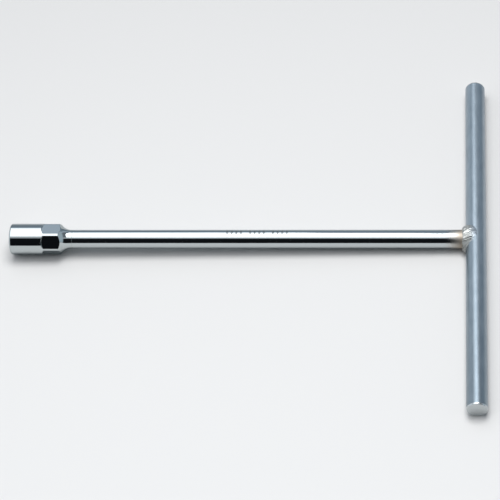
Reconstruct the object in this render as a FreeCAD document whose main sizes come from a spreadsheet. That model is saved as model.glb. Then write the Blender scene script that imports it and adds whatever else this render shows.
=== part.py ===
"""T-handle socket wrench: a socket head on a long round shaft, with a cross bar welded to the shaft's end.

Row frame, in millimetres: the origin is the centre of the socket's mouth, +X runs along the shaft to the
cross bar, Y is along the cross bar, and +Z is up as the wrench lies on a bench.
"""
import FreeCAD, Part
import math
import os
import Sketcher

from FreeCAD import Placement, Rotation, Vector

# Driving dimensions: alias, value, what it is. Lengths are millimetres and angles are degrees.
SIZES = [
    ("reach", 300.0, "socket mouth to the axis of the cross bar"),
    ("nut_across_flats", 14.0, "hexagon recess"),
    ("nut_depth", 15.0, "depth of the hexagon recess"),
    ("lead_in_diameter", 16.8, "countersink that guides a nut into the recess"),
    ("relief_diameter", 11.0, "bore behind the recess that takes the end of a stud"),
    ("head_diameter", 20.0, "outside of the socket barrel"),
    ("head_length", 40.5, "mouth to the back face of the socket head"),
    ("head_turn", 6.8, "turn of the hexagons about the shaft, from flat side up towards +Y"),
    ("mouth_rounding", 1.2, "radius round the outside of the mouth"),
    ("waist_across_flats", 18.0, "milled hexagon round the waist"),
    ("waist_length", 11.2, "cutter wall to the shoulder of the neck, in the middle of a flat"),
    ("cutter_radius", 8.0, "rounded front end of each flat"),
    ("neck_fillet", 8.0, "hollow fillet from the neck cone to the shaft"),
    ("neck_land", 1.0, "straight collar behind the fillet"),
    ("shaft_diameter", 12.0, "outside of the shaft"),
    ("spigot_diameter", 8.0, "turned end of the shaft inside the head"),
    ("spigot_length", 10.5, "length of the spigot"),
    ("braze_gap", 0.02, "radial clearance round the spigot"),
    ("spigot_end_gap", 0.5, "free space in front of the spigot"),
    ("head_web", 2.0, "metal between the relief bore and the spigot's bore"),
    ("bar_diameter", 13.0, "outside of the cross bar"),
    ("bar_length", 265.0, "end to end of the cross bar"),
    ("end_chamfer_length", 0.9, "end chamfer of the cross bar, along the bar"),
    ("end_chamfer_depth", 0.35, "end chamfer of the cross bar, off its radius"),
    ("weld_leg", 2.4, "weld toe on the shaft to the cross bar, along the shaft"),
    ("weld_lap", 0.9, "weld toe on the cross bar past the bar's axis"),
    ("weld_crown", 2.2, "height of the weld's arc over the line between its toes"),
    ("weld_side", 3.0, "widest reach of the weld past the side of the shaft"),
    ("weld_rise", 0.6, "height of the weld over the thicker of shaft and cross bar"),
    ("weld_turn", 40.0, "where the two passes meet, turned from the top of the shaft towards -Y"),
    ("toe_sink", 0.1, "how far the ends of the weld's arc lie below the shaft's surface"),
]

# Places that follow from the sizes. A cone at 45 degrees meets a cylinder at half of 45 degrees each
# side of the fillet, and the tangent of half of 45 degrees is sqrt(2) - 1.
HEAD_RADIUS = "sizes.head_diameter / 2"
SHAFT_RADIUS = "sizes.shaft_diameter / 2"
BAR_RADIUS = "sizes.bar_diameter / 2"
NECK_FOOT = "(sizes.head_length - sizes.neck_land - sizes.neck_fillet * (sqrt(2) - 1))"
NECK_SHOULDER = f"({NECK_FOOT} - ({HEAD_RADIUS} - {SHAFT_RADIUS}))"
WAIST_START = f"({NECK_SHOULDER} - sizes.waist_length)"
SPIGOT_BORE_END = "(sizes.head_length - sizes.spigot_length - sizes.spigot_end_gap)"
RELIEF_END = f"({SPIGOT_BORE_END} - sizes.head_web)"
HALF_BAR = "sizes.bar_length / 2"
WELD_FRONT = f"(sizes.reach - {BAR_RADIUS} - sizes.weld_leg)"
WELD_BACK = "(sizes.reach + sizes.weld_lap)"
WELD_HALF_WIDTH = f"({SHAFT_RADIUS} + sizes.weld_side)"
WELD_HALF_HEIGHT = f"(max({BAR_RADIUS}; {SHAFT_RADIUS}) + sizes.weld_rise)"
HEX_SIDES = 6

doc = FreeCAD.newDocument("t_handle_socket_wrench")
sheet = doc.addObject("Spreadsheet::Sheet", "sizes")
for row, (alias, value, meaning) in enumerate(SIZES, start=1):
    sheet.set(f"A{row}", alias)
    sheet.set(f"B{row}", str(value))
    sheet.set(f"C{row}", meaning)
    sheet.setAlias(f"B{row}", alias)
doc.recompute()


def size(expression):
    """The number that an expression of the sheet has now."""
    return float(sheet.evalExpression(expression.replace("sizes.", "")))


def new_body(name):
    """One piece of the wrench, as a body whose label names its file."""
    body = doc.addObject("PartDesign::Body", name)
    body.Label = name
    return body


def origin_feature(body, role):
    """The body's own origin plane or axis with this role."""
    return next(item for item in body.Origin.OriginFeatures if item.Role == role)


def new_sketch(body, name, plane_role, height=None):
    """A sketch on one of the body's origin planes, or parallel to it at a height bound to the sheet."""
    sketch = body.newObject("Sketcher::SketchObject", name)
    sketch.AttachmentSupport = [(origin_feature(body, plane_role), "")]
    sketch.MapMode = "FlatFace"
    if height is not None:
        sketch.setExpression("AttachmentOffset.Base.z", height)
    return sketch


def bind(sketch, kind, expression, *where):
    """Adds one dimension to a sketch and binds it to the sheet."""
    number = sketch.addConstraint(Sketcher.Constraint(kind, *where, size(expression)))
    sketch.setExpression(f"Constraints[{number}]", expression)


def place_point(sketch, geometry, end, across, up):
    """Fixes one end of a line or arc at sheet-bound coordinates of the sketch."""
    origin = (-1, 1)
    bind(sketch, "DistanceX", across, *origin, geometry, end)
    bind(sketch, "DistanceY", up, *origin, geometry, end)


def outline(body, name, plane_role, corners, height=None):
    """A closed outline of straight lines through corners given as pairs of expressions."""
    sketch = new_sketch(body, name, plane_role, height)
    count = len(corners)
    turn = 2 * math.pi / count
    rough = [Vector(math.cos(turn * index), math.sin(turn * index), 0) for index in range(count)]
    for index in range(count):
        sketch.addGeometry(Part.LineSegment(rough[index], rough[(index + 1) % count]))
    for index, (across, up) in enumerate(corners):
        sketch.addConstraint(Sketcher.Constraint("Coincident", index, 2, (index + 1) % count, 1))
        place_point(sketch, index, 1, across, up)
    return sketch


def circle(body, name, plane_role, radius, across="0", up="0", height=None):
    """A sketch of one circle."""
    sketch = new_sketch(body, name, plane_role, height)
    sketch.addGeometry(Part.Circle(Vector(0, 0, 0), Vector(0, 0, 1), 1.0))
    bind(sketch, "Radius", radius, 0)
    place_point(sketch, 0, 3, across, up)
    return sketch


def turned(body, name, sketch, axis, angle="360", subtract=False):
    """Turns a sketch about one of its own axes, as solid or as a groove."""
    kind = "PartDesign::Groove" if subtract else "PartDesign::Revolution"
    feature = body.newObject(kind, name)
    feature.Profile = sketch
    feature.ReferenceAxis = (sketch, [axis])
    feature.setExpression("Angle", angle)
    return feature


def pocket(body, name, sketch, depth=None, reverse=False, both_ways=False):
    """Cuts a sketch into the body: to a depth bound to the sheet, or right through."""
    doc.recompute()
    volume_before = body.Tip.Shape.Volume
    feature = body.newObject("PartDesign::Pocket", name)
    feature.Profile = sketch
    feature.Reversed = reverse
    feature.Midplane = both_ways
    if depth is None:
        feature.Type = "ThroughAll"
    else:
        feature.setExpression("Length", depth)
    doc.recompute()
    if feature.Shape.Volume >= volume_before:
        raise RuntimeError(f"{body.Name}: {name} cuts nothing")
    return feature


def round_edge(body, name, place, radius_here, fillet_radius):
    """Rounds the circular edge of a turned body that lies at a place along X and has a given radius."""
    doc.recompute()
    solid = body.Tip.Shape
    number = None
    for index, edge in enumerate(solid.Edges, start=1):
        is_circle = isinstance(edge.Curve, Part.Circle)
        if is_circle and abs(edge.Curve.Center.x - place) < 1e-6 and abs(edge.Curve.Radius - radius_here) < 1e-6:
            number = index
    if number is None:
        raise RuntimeError(f"{body.Name}: no edge for {name}")
    fillet = body.newObject("PartDesign::Fillet", name)
    fillet.Base = (fillet.BaseFeature, [f"Edge{number}"])
    fillet.setExpression("Radius", fillet_radius)
    doc.recompute()
    return fillet


def flat_outline(body):
    """Plan of one milled flat: round at the front, where the cutter stops, and open towards the neck."""
    sketch = new_sketch(body, "flat_outline", "XY_Plane", height="sizes.waist_across_flats / 2")
    cutter_centre = f"{WAIST_START} + sizes.cutter_radius"
    centre = Vector(size(cutter_centre), 0, 0)
    side = Vector(0, size("sizes.cutter_radius"), 0)
    run_out = Vector(size(NECK_FOOT), 0, 0)
    front = Part.Circle(centre, Vector(0, 0, 1), side.Length)
    sketch.addGeometry(Part.ArcOfCircle(front, math.pi / 2, 3 * math.pi / 2))
    sketch.addGeometry(Part.LineSegment(centre - side, run_out - side))
    sketch.addGeometry(Part.LineSegment(run_out - side, run_out + side))
    sketch.addGeometry(Part.LineSegment(run_out + side, centre + side))
    for line, following in ((0, 1), (1, 2), (2, 3), (3, 0)):
        sketch.addConstraint(Sketcher.Constraint("Coincident", line, 2, following, 1))
    sketch.addConstraint(Sketcher.Constraint("Vertical", 0, 1, 0, 3))
    sketch.addConstraint(Sketcher.Constraint("Vertical", 0, 2, 0, 3))
    sketch.addConstraint(Sketcher.Constraint("Horizontal", 1))
    sketch.addConstraint(Sketcher.Constraint("Vertical", 2))
    sketch.addConstraint(Sketcher.Constraint("Horizontal", 3))
    place_point(sketch, 0, 3, cutter_centre, "0")
    bind(sketch, "Radius", "sizes.cutter_radius", 0)
    bind(sketch, "DistanceX", NECK_FOOT, -1, 1, 1, 2)
    return sketch


def make_socket_head():
    """The turned head: hexagon recess, relief bore, milled waist, neck and bore for the spigot."""
    body = new_body("socket_head")
    blank = outline(body, "head_blank", "XZ_Plane", [
        ("0", "0"),
        ("0", HEAD_RADIUS),
        (NECK_SHOULDER, HEAD_RADIUS),
        (NECK_FOOT, SHAFT_RADIUS),
        ("sizes.head_length", SHAFT_RADIUS),
        ("sizes.head_length", "0"),
    ])
    turned(body, "head_turning", blank, "H_Axis")
    round_edge(body, "mouth_round", 0.0, size(HEAD_RADIUS), "sizes.mouth_rounding")
    round_edge(body, "neck_hollow", size(NECK_FOOT), size(SHAFT_RADIUS), "sizes.neck_fillet")

    hexagon = []
    for side in range(HEX_SIDES):
        angle = 360 / HEX_SIDES * side
        corner = "sizes.nut_across_flats / sqrt(3)"
        hexagon.append((f"{corner} * cos({angle})", f"{corner} * sin({angle})"))
    pocket(body, "nut_recess", outline(body, "nut_outline", "YZ_Plane", hexagon), "sizes.nut_depth", reverse=True)
    lead_in = outline(body, "lead_in_outline", "XZ_Plane", [
        ("0", "0"),
        ("0", "sizes.lead_in_diameter / 2"),
        ("sizes.lead_in_diameter / 2 * tan(30)", "0"),
    ])
    turned(body, "lead_in", lead_in, "H_Axis", subtract=True)
    pocket(body, "relief_bore", circle(body, "relief_outline", "YZ_Plane", "sizes.relief_diameter / 2"),
           RELIEF_END, reverse=True)
    spigot_outline = circle(body, "spigot_bore_outline", "YZ_Plane", "sizes.spigot_diameter / 2",
                            height="sizes.head_length")
    pocket(body, "spigot_bore", spigot_outline, f"sizes.head_length - {SPIGOT_BORE_END}")

    milled = pocket(body, "milled_flat", flat_outline(body), HEAD_RADIUS, reverse=True)
    pattern = body.newObject("PartDesign::PolarPattern", "six_flats")
    pattern.Originals = [milled]
    pattern.Axis = (origin_feature(body, "X_Axis"), [""])
    pattern.Angle = 360
    pattern.Occurrences = HEX_SIDES
    body.Tip = pattern
    body.Placement.Rotation = Rotation(Vector(-1, 0, 0), 0)
    body.setExpression("Placement.Rotation.Angle", "sizes.head_turn")
    return body


def cope(body, name):
    """Cuts the cross bar's own round seat out of a body that lies along the shaft."""
    seat = circle(body, f"{name}_outline", "XZ_Plane", BAR_RADIUS, across="sizes.reach")
    return pocket(body, name, seat, both_ways=True)


def make_shaft():
    """The shaft: spigot in the head, plain round rod, coped end against the cross bar."""
    body = new_body("shaft")
    spigot_radius = "(sizes.spigot_diameter / 2 - sizes.braze_gap)"
    spigot_end = f"({SPIGOT_BORE_END} + sizes.spigot_end_gap)"
    rod = outline(body, "rod_outline", "XZ_Plane", [
        (spigot_end, "0"),
        (spigot_end, spigot_radius),
        ("sizes.head_length", spigot_radius),
        ("sizes.head_length", SHAFT_RADIUS),
        ("sizes.reach", SHAFT_RADIUS),
        ("sizes.reach", "0"),
    ])
    turned(body, "rod_turning", rod, "H_Axis")
    doc.recompute()
    cope(body, "coped_end")
    return body


def make_cross_bar():
    """The cross bar: a round bar along Y, chamfered at both ends."""
    body = new_body("cross_bar")
    end_radius = f"({BAR_RADIUS} - sizes.end_chamfer_depth)"
    bar = outline(body, "bar_outline", "XY_Plane", [
        ("0", f"-{HALF_BAR}"),
        (end_radius, f"-{HALF_BAR}"),
        (BAR_RADIUS, f"-({HALF_BAR} - sizes.end_chamfer_length)"),
        (BAR_RADIUS, f"{HALF_BAR} - sizes.end_chamfer_length"),
        (end_radius, HALF_BAR),
        ("0", HALF_BAR),
    ])
    turned(body, "bar_turning", bar, "V_Axis")
    body.setExpression("Placement.Base.x", "sizes.reach")
    return body


def add_bow(sketch, start, end, rise, side=1):
    """An arc over the level chord from one point to another, counter-clockwise; returns its number."""
    first = Vector(size(start[0]), size(start[1]), 0)
    last = Vector(size(end[0]), size(end[1]), 0)
    crown = (first + last) / 2 + Vector(0, side * size(rise), 0)
    number = sketch.addGeometry(Part.Arc(first, crown, last))
    place_point(sketch, number, 1, *start)
    place_point(sketch, number, 2, *end)
    chord = f"({end[0]} - ({start[0]}))"
    bind(sketch, "Radius", f"{chord} * {chord} / (8 * {rise}) + {rise} / 2", number)
    return number


def weld_section(body, name):
    """Section of the bead where the two passes meet: an arc from the toe on the shaft to the one on the bar."""
    sketch = new_sketch(body, name, "XZ_Plane")
    sketch.AttachmentOffset = Placement(Vector(0, 0, 0), Rotation(Vector(1, 0, 0), 0))
    sketch.setExpression("AttachmentOffset.Rotation.Angle", "sizes.weld_turn")
    inside = f"{SHAFT_RADIUS} - sizes.toe_sink"
    arc = add_bow(sketch, (WELD_BACK, inside), (WELD_FRONT, inside), "sizes.weld_crown")
    back, front = Vector(size(WELD_BACK), size(inside), 0), Vector(size(WELD_FRONT), size(inside), 0)
    base = sketch.addGeometry(Part.LineSegment(front, back))
    sketch.addConstraint(Sketcher.Constraint("Coincident", arc, 2, base, 1))
    sketch.addConstraint(Sketcher.Constraint("Coincident", base, 2, arc, 1))
    return sketch


def flat_crown(body, name):
    """What is dressed off the bead above and below the joint: all outside a lens round the shaft's axis."""
    sketch = new_sketch(body, name, "YZ_Plane")
    left, right = (f"-({WELD_HALF_WIDTH})", "0"), (WELD_HALF_WIDTH, "0")
    add_bow(sketch, right, left, WELD_HALF_HEIGHT)
    add_bow(sketch, left, right, WELD_HALF_HEIGHT, side=-1)
    outside = sketch.addGeometry(Part.Circle(Vector(0, 0, 0), Vector(0, 0, 1), 2 * size(WELD_HALF_WIDTH)))
    place_point(sketch, outside, 3, "0", "0")
    bind(sketch, "Radius", f"2 * {WELD_HALF_WIDTH}", outside)
    return sketch


def make_weld_bead(name, far_side):
    """One pass of the fillet weld: half way round the shaft, less the seats of the shaft and the cross bar."""
    body = new_body(name)
    half = turned(body, f"{name}_turning", weld_section(body, f"{name}_section"), "H_Axis", angle="180")
    half.Reversed = far_side
    pocket(body, f"{name}_dressing", flat_crown(body, f"{name}_crown"), "sizes.reach * 2", reverse=True)
    shaft_circle = circle(body, f"{name}_shaft_circle", "YZ_Plane", SHAFT_RADIUS)
    pocket(body, f"{name}_shaft_seat", shaft_circle, "sizes.reach * 2", reverse=True)
    cope(body, f"{name}_bar_seat")
    return body


bodies = [
    make_socket_head(),
    make_shaft(),
    make_cross_bar(),
    make_weld_bead("weld_bead_lower", far_side=False),
    make_weld_bead("weld_bead_upper", far_side=True),
]
doc.recompute()

for item in doc.Objects:
    if "Invalid" in item.State or "Error" in item.State:
        raise RuntimeError(f"{item.Name} failed: {item.State}")
for body in bodies:
    if body.Shape.isNull() or not body.Shape.isValid() or len(body.Shape.Solids) != 1:
        raise RuntimeError(f"{body.Label} isn't one valid solid")

os.makedirs("parts", exist_ok=True)
for body in bodies:
    body.Shape.exportStep(f"parts/{body.Label}.step")
    box = body.Shape.optimalBoundingBox(True)
    print(f"{body.Label}: {body.Shape.Volume:.1f} mm3, x {box.XMin:.2f} to {box.XMax:.2f}, "
          f"y {box.YMin:.2f} to {box.YMax:.2f}, z {box.ZMin:.2f} to {box.ZMax:.2f}")
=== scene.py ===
import math

import bmesh
import bpy
from mathutils import Matrix, Vector, noise


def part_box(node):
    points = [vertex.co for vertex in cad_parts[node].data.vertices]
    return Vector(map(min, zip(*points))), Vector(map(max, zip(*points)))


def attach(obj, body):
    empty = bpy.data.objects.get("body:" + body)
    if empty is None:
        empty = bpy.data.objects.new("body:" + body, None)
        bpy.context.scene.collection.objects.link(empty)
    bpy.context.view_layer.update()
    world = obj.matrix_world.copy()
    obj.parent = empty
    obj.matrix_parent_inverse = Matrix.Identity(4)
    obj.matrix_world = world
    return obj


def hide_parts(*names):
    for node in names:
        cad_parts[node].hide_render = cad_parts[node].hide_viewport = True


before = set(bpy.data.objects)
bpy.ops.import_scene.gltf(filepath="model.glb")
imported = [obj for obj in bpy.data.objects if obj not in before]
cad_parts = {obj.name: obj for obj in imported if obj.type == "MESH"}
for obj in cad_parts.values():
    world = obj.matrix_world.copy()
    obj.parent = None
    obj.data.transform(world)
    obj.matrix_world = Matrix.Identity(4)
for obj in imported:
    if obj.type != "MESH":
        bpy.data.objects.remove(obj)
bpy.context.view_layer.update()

MM = 0.001

# Sizes that come from the frame.
HEAD_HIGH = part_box("socket_head")[1]
SHAFT_LOW, SHAFT_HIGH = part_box("shaft")
BAR_LOW, BAR_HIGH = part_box("cross_bar")
WELD_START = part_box("weld_bead_upper")[0].x
HEAD_RADIUS = HEAD_HIGH.z
HEAD_BACK = HEAD_HIGH.x
SHAFT_RADIUS = SHAFT_HIGH.z
BAR_RADIUS = BAR_HIGH.z
BAR_X = (BAR_LOW.x + BAR_HIGH.x) / 2
SPIGOT_END = SHAFT_LOW.x

# Sizes of the socket head that its box doesn't show.
HEX_SIDES = 6
SECTOR = 2 * math.pi / HEX_SIDES
HEAD_TURN = math.radians(-6.8)
RECESS_APOTHEM = 7.0 * MM
RECESS_DEPTH = 15.0 * MM
LEAD_IN_RADIUS = 8.4 * MM
LEAD_IN_SLOPE = math.tan(math.radians(30))
RELIEF_RADIUS = 5.5 * MM
MOUTH_ROUNDING = 1.2 * MM
SPIGOT_BORE_RADIUS = 4.0 * MM
SPIGOT_BORE_END = SPIGOT_END - 0.5 * MM
SPIGOT_RADIUS = SPIGOT_BORE_RADIUS - 0.02 * MM
RELIEF_END = SPIGOT_BORE_END - 2.0 * MM

# The head's neck and its milled waist: each flat ends in front in the round wall that its cutter left.
NECK_FILLET = 8.0 * MM
NECK_FOOT = HEAD_BACK - 1.0 * MM
SHOULDER = NECK_FOOT - NECK_FILLET * (math.sqrt(2) - 1) - (HEAD_RADIUS - SHAFT_RADIUS)
WAIST_APOTHEM = 9.0 * MM
WAIST_LENGTH = 11.2 * MM
CUTTER_RADIUS = 8.0 * MM
CUTTER_CENTRE = SHOULDER - WAIST_LENGTH + CUTTER_RADIUS

# The head's mesh: columns over each flat and over each strip between two flats, and the least turn between
# two faces that shows as a crease.
FLAT_COLUMNS = 18
STRIP_COLUMNS = 4
CREASE = math.radians(14)

# Columns round the shaft and the cross bar, and the chamfer at each end of the bar.
ROUND_COLUMNS = 128
END_CHAMFER_LENGTH = 0.9 * MM
END_CHAMFER_DEPTH = 0.35 * MM

# The etched mark on the shaft: groups of plain strokes. Each group leaves out its last stroke.
MARK_START = HEAD_BACK + 100.3 * MM
MARK_LENGTH = 44.0 * MM
MARK_PITCH = 2.95 * MM
MARK_GROUP = 5
MARK_TURN = math.radians(5)
MARK_HALF_HEIGHT = 1.9 * MM
STROKE_SHARE = 0.42

# The weld: where its two passes meet, how far it reaches past the sides of the shaft and over the bar, how
# deep its toes lie in the metal, how much its sections lean, how high it stands, over what angle each pass
# tapers at its ends, how fine its mesh is, and the height of its ripples, lobes, pits and first drop.
WELD_JOINT = math.radians(40)
WELD_SIDE = 2.8 * MM
WELD_SINK = 0.06 * MM
WELD_OVERLAP = 1.0 * MM
WELD_SKEW = math.radians(35)
WELD_CROWN = 0.95 * MM
WELD_TAPER = 0.09
WELD_SECTIONS = 150
WELD_STEPS = 22
RIPPLE_HEIGHT = 0.14 * MM
LOBE_HEIGHT = 0.45 * MM
PIT_DEPTH = 1.6 * MM
DROP_HEIGHT = 0.30 * MM

# The camera, which stands over the cross bar and looks a little to the left.
CAMERA_ELEVATION = math.radians(50.119)
CAMERA_DISTANCE = 1.31697
CAMERA_OFFSET = -11.136 * MM
CAMERA_YAW = math.radians(5.774)
CAMERA_PITCH = math.radians(-0.301)
CAMERA_LENS = 148.37

# The light: a softbox in five panels. Each has its left, right, near and far edges, in parts of the height
# over the socket's mouth, and its radiance.
SOFTBOX_HEIGHT = 1.45
SOFTBOX_PANELS = {
    "near": (-0.5, 0.45, -0.36, 0.0, 1.85),
    "left": (-0.5, -0.05, 0.0, 0.5, 1.85),
    "middle": (-0.05, 0.45, 0.0, 0.5, 9.5),
    "far": (-0.5, 0.17, 0.5, 0.87, 1.85),
    "corner": (-0.5, 0.04, 0.87, 1.15, 1.85),
}

# What the metal mirrors besides the softbox, by the turn round the X axis in parts of a whole turn. 0.5 is
# level towards the near side, 0.75 is straight up, and 1 is level towards the far side.
SURROUNDINGS = (
    (0.0, (0.35, 0.38, 0.42)),
    (0.495, (0.30, 0.31, 0.33)),
    (0.505, (0.006, 0.007, 0.009)),
    (0.655, (0.008, 0.009, 0.011)),
    (0.662, (0.58, 0.60, 0.63)),
    (0.694, (0.62, 0.65, 0.68)),
    (0.700, (0.20, 0.22, 0.25)),
    (0.880, (0.20, 0.22, 0.25)),
    (0.888, (0.62, 0.72, 0.83)),
    (0.905, (0.52, 0.60, 0.70)),
    (0.930, (0.26, 0.32, 0.38)),
    (1.0, (0.24, 0.29, 0.34)),
)

# Pale fills on the left and the right: the X of the directions where each starts and where it is full, and
# its radiance. The backdrop is what the camera itself sees past the bench.
FILLS = (
    (-0.5, -0.72, (0.85, 0.91, 0.97)),
    (0.74, 0.86, (0.50, 0.59, 0.66)),
)
BACKDROP = (0.78, 0.79, 0.80)

# Colours of the metals and of the bench.
HEAD_CHROME = (0.51, 0.55, 0.555)
SHAFT_CHROME = (0.51, 0.55, 0.56)
CHROME_EDGE = (0.55, 0.58, 0.61, 1)
HEAT_TINT = (0.42, 0.37, 0.31)
ETCHED = (0.20, 0.22, 0.23)
PLATE_DARK = (0.250, 0.305, 0.350)
PLATE_LIGHT = (0.310, 0.370, 0.420)
# Painted shade: the dark colour that the cross bar fades towards at its near end.
PLATE_NEAR_END_SHADE = (0.05, 0.07, 0.09)
PLATE_TURNED = (0.52, 0.55, 0.56)
WELD_BY_SHAFT = (0.33, 0.34, 0.33)
WELD_BY_BAR = (0.25, 0.29, 0.33)
BENCH_NEAR = (0.83, 0.822, 0.81)
# Painted shade: the bench's colour on its far side, where the light falls off.
BENCH_FAR_SHADE = (0.545, 0.54, 0.535)
BENCH_HALF = 3.0


# ---------------------------------------------------------------- meshes

def soften(path, steps=3):
    """Rounds the corners of an open path of (along, out, rounding) points. A rounding of 0 keeps a point."""
    points = [Vector(item[:2]) for item in path]
    rounded = [points[0]]
    for index in range(1, len(path) - 1):
        corner, rounding = points[index], path[index][2]
        if rounding == 0:
            rounded.append(corner)
            continue
        back, ahead = points[index - 1] - corner, points[index + 1] - corner
        reach = min(rounding, 0.45 * back.length, 0.45 * ahead.length)
        start, end = corner + back.normalized() * reach, corner + ahead.normalized() * reach
        for step in range(steps + 1):
            part = step / steps
            rounded.append((1 - part) ** 2 * start + 2 * part * (1 - part) * corner + part ** 2 * end)
    rounded.append(points[-1])
    return rounded


def around_shaft(angle, point):
    """A point given as (along, out) at an angle round the shaft's axis."""
    along, out = point
    return Vector((along, -out * math.sin(angle), out * math.cos(angle)))


def around_bar(angle, point):
    """A point given as (along, out) at an angle round the cross bar's axis."""
    along, out = point
    return Vector((BAR_X + out * math.sin(angle), along, out * math.cos(angle)))


def make_object(name, vertices, faces):
    """A smooth closed mesh with its faces outwards. Each vertex takes its normal from its larger faces."""
    mesh = bpy.data.meshes.new(name)
    mesh.from_pydata([tuple(vertex) for vertex in vertices], [], faces)
    work = bmesh.new()
    work.from_mesh(mesh)
    bmesh.ops.recalc_face_normals(work, faces=work.faces)
    for face in work.faces:
        face.smooth = True
    work.to_mesh(mesh)
    work.free()
    mesh.validate()
    piece = bpy.data.objects.new(name, mesh)
    bpy.context.scene.collection.objects.link(piece)
    weighted = piece.modifiers.new("normals", "WEIGHTED_NORMAL")
    weighted.weight = 80
    return piece


def skin(name, angles, path_at, place):
    """A closed mesh round an axis: a path for each angle, all from one point on the axis to another."""
    paths = [path_at(angle) for angle in angles]
    rows = len(paths[0]) - 2
    columns = len(paths)
    vertices = [place(0, paths[0][0])]
    for angle, path in zip(angles, paths):
        vertices.extend(place(angle, point) for point in path[1:-1])
    vertices.append(place(0, paths[0][-1]))
    last = len(vertices) - 1
    faces = []
    for column in range(columns):
        here = 1 + column * rows
        beside = 1 + (column + 1) % columns * rows
        faces.append((0, here, beside))
        faces.append((last, beside + rows - 1, here + rows - 1))
        for row in range(rows - 1):
            faces.append((here + row, here + row + 1, beside + row + 1, beside + row))
    return make_object(name, vertices, faces)


def even_angles(count):
    """Angles spaced evenly round an axis."""
    return [2 * math.pi * index / count for index in range(count)]


def finish_piece(piece, node, material):
    """Attaches a piece to the root body, hides the frame's node that it stands for and gives it its
    material.
    """
    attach(piece, "root")
    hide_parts(node)
    piece.data.materials.append(material)
    return piece


def head_angles():
    """Columns of the head's mesh: even over each flat and over each strip of barrel between two flats."""
    edge = math.acos(WAIST_APOTHEM / HEAD_RADIUS)
    strip = SECTOR - 2 * edge
    over_flat = [-edge + 2 * edge * step / FLAT_COLUMNS for step in range(FLAT_COLUMNS)]
    over_strip = [edge + strip * step / STRIP_COLUMNS for step in range(STRIP_COLUMNS)]
    offsets = over_flat + over_strip
    return [HEAD_TURN + SECTOR * side + offset for side in range(HEX_SIDES) for offset in offsets]


def keep_creases(piece):
    """Keeps the edges along the head crisp where its faces turn sharply, at the flats and in the recess."""
    work = bmesh.new()
    work.from_mesh(piece.data)
    for edge in work.edges:
        rise = abs(edge.verts[0].co.x - edge.verts[1].co.x)
        if rise > 0.7 * edge.calc_length() and edge.calc_face_angle(0) > CREASE:
            edge.smooth = False
    work.to_mesh(piece.data)
    work.free()
    piece.modifiers["normals"].keep_sharp = True


def off_flat(angle):
    """Angle from the normal of the nearest flat."""
    turned = (angle - HEAD_TURN + SECTOR / 2) % SECTOR
    return turned - SECTOR / 2


def arc(centre, radius, start, end, steps):
    """Path points on an arc between two angles in degrees, without its ends. They need no rounding."""
    points = []
    for step in range(1, steps):
        angle = math.radians(start + (end - start) * step / steps)
        points.append((centre[0] + radius * math.cos(angle), centre[1] + radius * math.sin(angle), 0))
    return points


def cutter_wall(across):
    """Where the rounded front end of a flat lies along X, at a distance from the flat's middle."""
    return CUTTER_CENTRE - math.sqrt(CUTTER_RADIUS ** 2 - across ** 2)


def head_path(angle):
    """The head's section at one angle: from the axis out of the recess, round the mouth, back along the
    outside and into the spigot's bore."""
    turn = off_flat(angle)
    recess = RECESS_APOTHEM / math.cos(turn)
    waist = min(WAIST_APOTHEM / math.cos(turn), HEAD_RADIUS)
    tangent = NECK_FILLET / math.sqrt(2)
    wall_top = cutter_wall(HEAD_RADIUS * math.sin(turn)) - 0.04 * MM
    wall_foot = cutter_wall(waist * math.sin(turn)) + 0.04 * MM
    return soften([
        (RELIEF_END, 0, 0),
        (RELIEF_END, RELIEF_RADIUS, 0.3 * MM),
        (RECESS_DEPTH, RELIEF_RADIUS, 0.15 * MM),
        (RECESS_DEPTH, recess, 0.3 * MM),
        ((LEAD_IN_RADIUS - recess) * LEAD_IN_SLOPE, recess, 0.1 * MM),
        (0, LEAD_IN_RADIUS, 0.12 * MM),
        (0, HEAD_RADIUS - MOUTH_ROUNDING, 0),
        *arc((MOUTH_ROUNDING, HEAD_RADIUS - MOUTH_ROUNDING), MOUTH_ROUNDING, 180, 90, 7),
        (MOUTH_ROUNDING, HEAD_RADIUS, 0),
        (wall_top, HEAD_RADIUS, 0.12 * MM),
        (wall_foot, waist, 0.2 * MM),
        (SHOULDER + HEAD_RADIUS - waist, waist, 0.2 * MM),
        (NECK_FOOT - tangent, SHAFT_RADIUS + NECK_FILLET - tangent, 0),
        *arc((NECK_FOOT, SHAFT_RADIUS + NECK_FILLET), NECK_FILLET, 225, 270, 10),
        (NECK_FOOT, SHAFT_RADIUS, 0),
        (HEAD_BACK, SHAFT_RADIUS, 0.12 * MM),
        (HEAD_BACK, SPIGOT_BORE_RADIUS, 0.1 * MM),
        (SPIGOT_BORE_END, SPIGOT_BORE_RADIUS, 0.3 * MM),
        (SPIGOT_BORE_END, 0, 0),
    ])


def make_socket_head():
    """The turned head with its hexagon recess, milled waist and hollow neck."""
    piece = skin("socket_head_look", head_angles(), head_path, around_shaft)
    keep_creases(piece)
    return finish_piece(piece, "socket_head", polished_chrome())


def cope_at(angle, out):
    """Where the cross bar's surface lies along X, as seen down the shaft."""
    return BAR_X - math.sqrt(BAR_RADIUS ** 2 - (out * math.cos(angle)) ** 2)


def shaft_path(angle):
    """The shaft's section at one angle, from its spigot to the end coped round the cross bar."""
    cope = [(cope_at(angle, SHAFT_RADIUS * part), SHAFT_RADIUS * part, 0) for part in (0.75, 0.5, 0.25)]
    return soften([
        (SPIGOT_END, 0, 0),
        (SPIGOT_END, SPIGOT_RADIUS, 0.2 * MM),
        (HEAD_BACK, SPIGOT_RADIUS, 0.1 * MM),
        (HEAD_BACK, SHAFT_RADIUS, 0.12 * MM),
        (cope_at(angle, SHAFT_RADIUS), SHAFT_RADIUS, 0),
        *cope,
        (cope_at(angle, 0), 0, 0),
    ])


def make_shaft():
    """The round shaft."""
    piece = skin("shaft_look", even_angles(ROUND_COLUMNS), shaft_path, around_shaft)
    return finish_piece(piece, "shaft", drawn_chrome())


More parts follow.
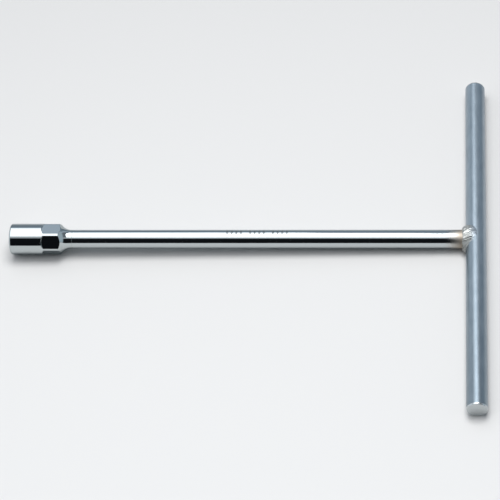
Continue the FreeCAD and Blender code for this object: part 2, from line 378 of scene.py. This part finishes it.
def bar_path(angle):
    """The cross bar's section, with a chamfer round each end."""
    face = BAR_RADIUS - END_CHAMFER_DEPTH
    near, far = BAR_LOW.y, BAR_HIGH.y
    return soften([
        (near, 0, 0),
        (near, face, 0.15 * MM),
        (near + END_CHAMFER_LENGTH, BAR_RADIUS, 0.3 * MM),
        (far - END_CHAMFER_LENGTH, BAR_RADIUS, 0.3 * MM),
        (far, face, 0.15 * MM),
        (far, 0, 0),
    ], steps=5)


def make_cross_bar():
    """The round cross bar."""
    piece = skin("cross_bar_look", even_angles(ROUND_COLUMNS), bar_path, around_bar)
    return finish_piece(piece, "cross_bar", satin_plate())


def shaft_toe(angle):
    """Edge of the weld on the shaft, a little uneven."""
    wander = 0.35 * MM * noise.noise(Vector((3.0 * math.cos(angle), 3.0 * math.sin(angle), 5.0)))
    return around_shaft(angle, (WELD_START + wander, SHAFT_RADIUS - WELD_SINK))


def bar_toe(angle):
    """Edge of the weld on the cross bar: an oval round the shaft, measured over the bar's round surface."""
    wander = 1 + 0.05 * noise.noise(Vector((2.5 * math.cos(angle), 2.5 * math.sin(angle), 9.0)))
    quarter = BAR_RADIUS * math.pi / 2
    over = (quarter + WELD_OVERLAP) * math.cos(angle) * wander - quarter
    along = (SHAFT_RADIUS + WELD_SIDE) * math.sin(angle) * wander
    return around_bar(over / BAR_RADIUS, (-along, BAR_RADIUS - WELD_SINK))


def weld_relief(angle, across, first):
    """Height of the weld's ripples, lobes, pits and first drop at an angle and a place between the toes."""
    from_joint = angle - first
    sway = 2 * noise.noise(Vector((4 * angle, 3 * across, first)))
    ripple = math.sin(19 * angle + 4 * (across - 0.5) ** 2 + sway)
    lobes = noise.noise(Vector((2.4 * angle, 2.6 * across, 3.3 + first)))
    pits = max(0.0, noise.noise(Vector((9 * angle, 8 * across, 7.0))) - 0.2) * max(0.0, across - 0.3)
    drop = math.exp(-((from_joint - 0.16) / 0.14) ** 2)
    return RIPPLE_HEIGHT * ripple + LOBE_HEIGHT * lobes - PIT_DEPTH * pits + DROP_HEIGHT * drop


def weld_ring(angle, first, last):
    """The bead's closed section at one angle: over its crown from toe to toe, and back inside the metal. It
    gets lower towards the two ends of the pass."""
    start, end = shaft_toe(angle + WELD_SKEW / 2), bar_toe(angle - WELD_SKEW / 2)
    chord = (end - start).normalized()
    outward = around_shaft(angle, (0, 1)) - Vector((0.6, 0, 0))
    outward = (outward - outward.dot(chord) * chord).normalized()
    fullness = min(1.0, (angle - first) / WELD_TAPER + 0.15, (last - angle) / WELD_TAPER + 0.15)
    crown = (WELD_CROWN - 0.1 * MM * math.cos(angle) ** 2) * math.sqrt(fullness)
    lowest = -BAR_RADIUS + 0.1 * MM
    ring = []
    for step in range(WELD_STEPS + 1):
        across = step / WELD_STEPS
        bow = math.sin(math.pi * across) ** 0.8
        height = bow * (crown + weld_relief(angle, across, first) * fullness)
        point = start.lerp(end, across) + outward * max(height, 0.0)
        point.z = max(point.z, lowest)
        ring.append(point)
    ring.append(end.lerp(Vector((BAR_X, end.y * 0.5, end.z * 0.5)), 0.25))
    ring.append(start.lerp(Vector((BAR_X, 0, 0)), 0.25))
    return ring


def make_weld_bead(name, node, first):
    """One pass of the weld, half way round the shaft."""
    last = first + math.pi
    angles = [first + math.pi * index / WELD_SECTIONS for index in range(WELD_SECTIONS + 1)]
    rings = [weld_ring(angle, first, last) for angle in angles]
    size = len(rings[0])
    vertices = [vertex for ring in rings for vertex in ring]
    faces = []
    for row in range(WELD_SECTIONS):
        for column in range(size):
            here, beside = row * size + column, row * size + (column + 1) % size
            faces.append((here, beside, beside + size, here + size))
    faces.append(tuple(range(size)))
    faces.append(tuple(range(WELD_SECTIONS * size, (WELD_SECTIONS + 1) * size)))
    piece = make_object(name, vertices, faces)
    return finish_piece(piece, node, weld_metal())


# ---------------------------------------------------------------- materials

def new_material(name, color, roughness, metallic=1.0):
    """A material with one Principled shader; returns (material, its nodes, its links, the shader)."""
    material = bpy.data.materials.get(name) or bpy.data.materials.new(name)
    material.use_nodes = True
    nodes, links = material.node_tree.nodes, material.node_tree.links
    shader = nodes["Principled BSDF"]
    shader.inputs["Base Color"].default_value = (*color, 1)
    shader.inputs["Roughness"].default_value = roughness
    shader.inputs["Metallic"].default_value = metallic
    return material, nodes, links, shader


def place_in_row(nodes):
    """Output with the place in the row frame, in metres."""
    return nodes.new("ShaderNodeTexCoord").outputs["Object"]


def coordinates(nodes, links):
    """Outputs X, Y and Z of the place in the row frame."""
    separate = nodes.new("ShaderNodeSeparateXYZ")
    links.new(place_in_row(nodes), separate.inputs["Vector"])
    return separate.outputs


def grain(nodes, links, scale, detail=3.0):
    """Noise from 0 to 1, with its scale along X, Y and Z in cells per metre."""
    mapping = nodes.new("ShaderNodeMapping")
    mapping.inputs["Scale"].default_value = scale
    links.new(place_in_row(nodes), mapping.inputs["Vector"])
    texture = nodes.new("ShaderNodeTexNoise")
    texture.inputs["Scale"].default_value = 1.0
    texture.inputs["Detail"].default_value = detail
    links.new(mapping.outputs["Vector"], texture.inputs["Vector"])
    return texture.outputs["Fac"]


def spread(nodes, links, source, low, high, from_low=0.3, from_high=0.7):
    """Maps a number from one range to another, held at the ends."""
    mapper = nodes.new("ShaderNodeMapRange")
    mapper.inputs["From Min"].default_value = from_low
    mapper.inputs["From Max"].default_value = from_high
    mapper.inputs["To Min"].default_value = low
    mapper.inputs["To Max"].default_value = high
    links.new(source, mapper.inputs["Value"])
    return mapper.outputs["Result"]


def math_node(nodes, links, operation, *values):
    """One sum with numbers or outputs."""
    node = nodes.new("ShaderNodeMath")
    node.operation = operation
    for socket, value in zip(node.inputs, values):
        if isinstance(value, (int, float)):
            socket.default_value = value
        else:
            links.new(value, socket)
    return node.outputs[0]


def mixed(nodes, links, amount, first, second):
    """A colour between two, by an amount; each is a colour or an output. Inputs 6 and 7 take colours."""
    node = nodes.new("ShaderNodeMix")
    node.data_type = "RGBA"
    links.new(amount, node.inputs["Factor"])
    for socket, value in ((node.inputs[6], first), (node.inputs[7], second)):
        if isinstance(value, tuple):
            socket.default_value = (*value, 1)
        else:
            links.new(value, socket)
    return node.outputs[2]


def bumped(nodes, links, shader, height, depth, strength=1.0):
    """Lets a height from 0 to 1 tilt the surface; depth is in metres."""
    bump = nodes.new("ShaderNodeBump")
    bump.inputs["Strength"].default_value = strength
    bump.inputs["Distance"].default_value = depth
    links.new(height, bump.inputs["Height"])
    links.new(bump.outputs["Normal"], shader.inputs["Normal"])


def polished_chrome():
    """Bright plating on the head, with faint turning marks."""
    material, nodes, links, shader = new_material("polished_chrome", HEAD_CHROME, 0.04)
    shader.inputs["Specular Tint"].default_value = CHROME_EDGE
    haze = grain(nodes, links, (120, 300, 300))
    links.new(spread(nodes, links, haze, 0.025, 0.06), shader.inputs["Roughness"])
    turning = grain(nodes, links, (5000, 60, 60), 2.0)
    bumped(nodes, links, shader, turning, 0.004 * MM, 0.3)
    return material


def etched_strokes(nodes, links):
    """1 on the strokes of the shaft's mark and 0 elsewhere."""
    place = coordinates(nodes, links)
    along = math_node(nodes, links, "SUBTRACT", place["X"], MARK_START)
    count = math_node(nodes, links, "DIVIDE", along, MARK_PITCH)
    stroke = math_node(nodes, links, "LESS_THAN", math_node(nodes, links, "FRACT", count), STROKE_SHARE)
    group = math_node(nodes, links, "FRACT", math_node(nodes, links, "DIVIDE", count, MARK_GROUP))
    grouped = math_node(nodes, links, "LESS_THAN", group, (MARK_GROUP - 1) / MARK_GROUP)
    begun = math_node(nodes, links, "GREATER_THAN", along, 0.0)
    ended = math_node(nodes, links, "LESS_THAN", along, MARK_LENGTH)
    turn = math_node(nodes, links, "ARCTAN2", place["Y"], place["Z"])
    off_middle = math_node(nodes, links, "ABSOLUTE", math_node(nodes, links, "SUBTRACT", turn, MARK_TURN))
    level = math_node(nodes, links, "LESS_THAN", off_middle, MARK_HALF_HEIGHT / SHAFT_RADIUS)
    mask = stroke
    for part in (grouped, begun, ended, level):
        mask = math_node(nodes, links, "MULTIPLY", mask, part)
    return mask


def drawn_chrome():
    """Plating on the drawn shaft: slightly wavy, with a straw tint where the weld's heat reached."""
    material, nodes, links, shader = new_material("drawn_chrome", SHAFT_CHROME, 0.08)
    shader.inputs["Specular Tint"].default_value = CHROME_EDGE
    along = coordinates(nodes, links)["X"]
    heat = spread(nodes, links, along, 0.0, 1.0, WELD_START - 11 * MM, WELD_START - 1 * MM)
    tinted = mixed(nodes, links, heat, SHAFT_CHROME, HEAT_TINT)
    strokes = etched_strokes(nodes, links)
    links.new(mixed(nodes, links, strokes, tinted, ETCHED), shader.inputs["Base Color"])
    haze = spread(nodes, links, grain(nodes, links, (60, 400, 400)), 0.06, 0.11)
    scaled = math_node(nodes, links, "MULTIPLY_ADD", heat, 0.5, haze)
    etched = math_node(nodes, links, "MULTIPLY_ADD", strokes, 0.25, scaled)
    links.new(etched, shader.inputs["Roughness"])
    lines = grain(nodes, links, (1400, 40, 40), 3.0)
    bumped(nodes, links, shader, lines, 0.012 * MM, 0.5)
    return material


def satin_plate():
    """Dull bluish plating on the cross bar, with painted shade darkening it towards its near end, and
    brighter turned ends.
    """
    material, nodes, links, shader = new_material("satin_plate", PLATE_LIGHT, 0.34, 0.88)
    along = coordinates(nodes, links)["Y"]
    from_middle = math_node(nodes, links, "ABSOLUTE", along)
    edge = BAR_HIGH.y - 1.1 * MM
    turned = spread(nodes, links, from_middle, 0.0, 1.0, edge - 0.1 * MM, edge + 0.1 * MM)
    cloud = grain(nodes, links, (300, 90, 300), 4.0)
    dull = mixed(nodes, links, spread(nodes, links, cloud, 0.0, 1.0), PLATE_DARK, PLATE_LIGHT)
    # Painted shade: the base colour darkens towards the bar's near end to tone down its highlight.
    near_end_shade = spread(nodes, links, along, 0.25, 0.0, BAR_LOW.y, 0.0)
    shaded = mixed(nodes, links, near_end_shade, dull, PLATE_NEAR_END_SHADE)
    links.new(mixed(nodes, links, turned, shaded, PLATE_TURNED), shader.inputs["Base Color"])
    speckle = grain(nodes, links, (1500, 900, 1500), 2.0)
    rough = spread(nodes, links, speckle, 0.29, 0.39)
    smoother = math_node(nodes, links, "MULTIPLY_ADD", turned, -0.16, rough)
    links.new(smoother, shader.inputs["Roughness"])
    bumped(nodes, links, shader, speckle, 0.03 * MM, 0.5)
    return material


def weld_metal():
    """Plated-over weld: rough and pitted, and bluer towards the cross bar."""
    material, nodes, links, shader = new_material("weld_metal", WELD_BY_SHAFT, 0.34, 0.6)
    along = coordinates(nodes, links)["X"]
    over_bar = spread(nodes, links, along, 0.0, 1.0, BAR_LOW.x + 1.5 * MM, BAR_X - 1 * MM)
    links.new(mixed(nodes, links, over_bar, WELD_BY_SHAFT, WELD_BY_BAR), shader.inputs["Base Color"])
    haze = grain(nodes, links, (900, 900, 900))
    links.new(spread(nodes, links, haze, 0.22, 0.45), shader.inputs["Roughness"])
    rough = grain(nodes, links, (1400, 1400, 1400), 4.0)
    bumped(nodes, links, shader, rough, 0.25 * MM, 0.6)
    return material


def pale_bench():
    """Matt white board under the wrench, with painted shade making it greyer on the far side."""
    material, nodes, links, shader = new_material("pale_bench", BENCH_NEAR, 0.9, 0.0)
    shader.inputs["Specular IOR Level"].default_value = 0.1
    # Painted shade: greyer towards the far side, where the softbox's light falls off.
    far_shade = spread(nodes, links, coordinates(nodes, links)["Y"], 0.0, 1.0, -0.4, 0.35)
    links.new(mixed(nodes, links, far_shade, BENCH_NEAR, BENCH_FAR_SHADE), shader.inputs["Base Color"])
    return material


# ---------------------------------------------------------------- stage

def make_bench():
    """A pale board that the head and the cross bar lie on, so it is tilted a little in the row frame."""
    foot_x = 0.5 * HEAD_BACK
    rise = math.atan2(HEAD_RADIUS - BAR_RADIUS, BAR_X - foot_x)
    corners = []
    for along, across in ((-1, -1), (1, -1), (1, 1), (-1, 1)):
        reach = along * BENCH_HALF
        x, z = foot_x + reach * math.cos(rise), -HEAD_RADIUS + reach * math.sin(rise)
        corners.append((x, across * BENCH_HALF, z))
    mesh = bpy.data.meshes.new("bench")
    mesh.from_pydata(corners, [], [(0, 1, 2, 3)])
    mesh.materials.append(pale_bench())
    bench = bpy.data.objects.new("bench", mesh)
    bpy.context.scene.collection.objects.link(bench)


def make_softbox():
    """A large softbox overhead, brightest in its middle panel, most of it on the far side of the wrench."""
    for name, (left, right, near, far, radiance) in SOFTBOX_PANELS.items():
        light = bpy.data.lights.new(f"softbox_{name}", "AREA")
        light.shape = "RECTANGLE"
        light.size = (right - left) * SOFTBOX_HEIGHT
        light.size_y = (far - near) * SOFTBOX_HEIGHT
        light.energy = radiance * math.pi * light.size * light.size_y
        panel = bpy.data.objects.new(f"softbox_{name}", light)
        panel.location = Vector(((left + right) / 2, (near + far) / 2, 1)) * SOFTBOX_HEIGHT
        bpy.context.scene.collection.objects.link(panel)


def make_surroundings():
    """What the metal mirrors besides the softbox, with a pale fill on the left and one on the right."""
    world = bpy.data.worlds.new("surroundings")
    bpy.context.scene.world = world
    world.use_nodes = True
    nodes, links = world.node_tree.nodes, world.node_tree.links
    direction = nodes.new("ShaderNodeSeparateXYZ")
    links.new(nodes.new("ShaderNodeTexCoord").outputs["Generated"], direction.inputs["Vector"])
    to_front = math_node(nodes, links, "MULTIPLY", direction.outputs["Y"], -1.0)
    turn = math_node(nodes, links, "ARCTAN2", direction.outputs["Z"], to_front)
    part = math_node(nodes, links, "MULTIPLY_ADD", turn, 1 / (2 * math.pi), 0.5)
    ramp = nodes.new("ShaderNodeValToRGB")
    stops = ramp.color_ramp.elements
    for stop, (position, color) in zip(stops, (SURROUNDINGS[0], SURROUNDINGS[-1])):
        stop.position = position
        stop.color = (*color, 1)
    for position, color in SURROUNDINGS[1:-1]:
        stops.new(position).color = (*color, 1)
    links.new(part, ramp.inputs["Fac"])
    mirrored = ramp.outputs["Color"]
    for start, full, color in FILLS:
        amount = spread(nodes, links, direction.outputs["X"], 0.0, 1.0, start, full)
        mirrored = mixed(nodes, links, amount, mirrored, color)
    seen_directly = nodes.new("ShaderNodeLightPath").outputs["Is Camera Ray"]
    shown = mixed(nodes, links, seen_directly, mirrored, BACKDROP)
    links.new(shown, nodes["Background"].inputs["Color"])


def make_camera():
    """The camera over the cross bar."""
    level = Vector((0, math.cos(CAMERA_ELEVATION), -math.sin(CAMERA_ELEVATION)))
    above = Vector((0, math.sin(CAMERA_ELEVATION), math.cos(CAMERA_ELEVATION)))
    right = Vector((1, 0, 0))
    ahead = level * math.cos(CAMERA_YAW) - right * math.sin(CAMERA_YAW)
    right = right * math.cos(CAMERA_YAW) + level * math.sin(CAMERA_YAW)
    forward = ahead * math.cos(CAMERA_PITCH) + above * math.sin(CAMERA_PITCH)
    up = above * math.cos(CAMERA_PITCH) - ahead * math.sin(CAMERA_PITCH)
    data = bpy.data.cameras.new("camera")
    data.sensor_width = 36
    data.lens = CAMERA_LENS
    data.clip_start, data.clip_end = 0.1, 20
    camera = bpy.data.objects.new("camera", data)
    turn = Matrix((right, up, -forward)).transposed().to_4x4()
    place = Vector((BAR_X + CAMERA_OFFSET, 0, 0)) - level * CAMERA_DISTANCE
    camera.matrix_world = Matrix.Translation(place) @ turn
    bpy.context.scene.collection.objects.link(camera)
    bpy.context.scene.camera = camera


bpy.context.scene.view_settings.view_transform = "Standard"
make_surroundings()
make_softbox()
make_bench()
make_camera()
make_socket_head()
make_shaft()
make_cross_bar()
make_weld_bead("weld_lower_look", "weld_bead_lower", WELD_JOINT)
make_weld_bead("weld_upper_look", "weld_bead_upper", WELD_JOINT + math.pi)
